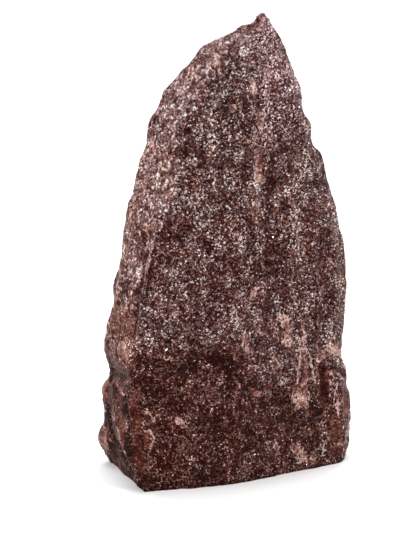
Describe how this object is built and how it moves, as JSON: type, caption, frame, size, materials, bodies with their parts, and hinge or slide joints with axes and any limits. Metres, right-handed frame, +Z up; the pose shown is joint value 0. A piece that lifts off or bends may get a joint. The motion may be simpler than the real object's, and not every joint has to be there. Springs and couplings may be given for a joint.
{
  "type": "fuchsite specimen",
  "caption": "Free-standing tapered piece of red-brown mica quartz rock, rough on all sides with a pointed top and a flat sawn base.",
  "frame": {"origin": "on the flat sawn base, under the middle of the stone's box", "axes": "+Z up along the stone's height, -Y out of its broad front face, +X to the right of that face"},
  "size_m": [0.0947, 0.0546, 0.165],
  "materials": {
    "mica_quartz": "rough broken quartz rock full of small glittering mica flakes"
  },
  "bodies": {
    "root": {"stone": "mica_quartz"}
  },
  "joints": []
}
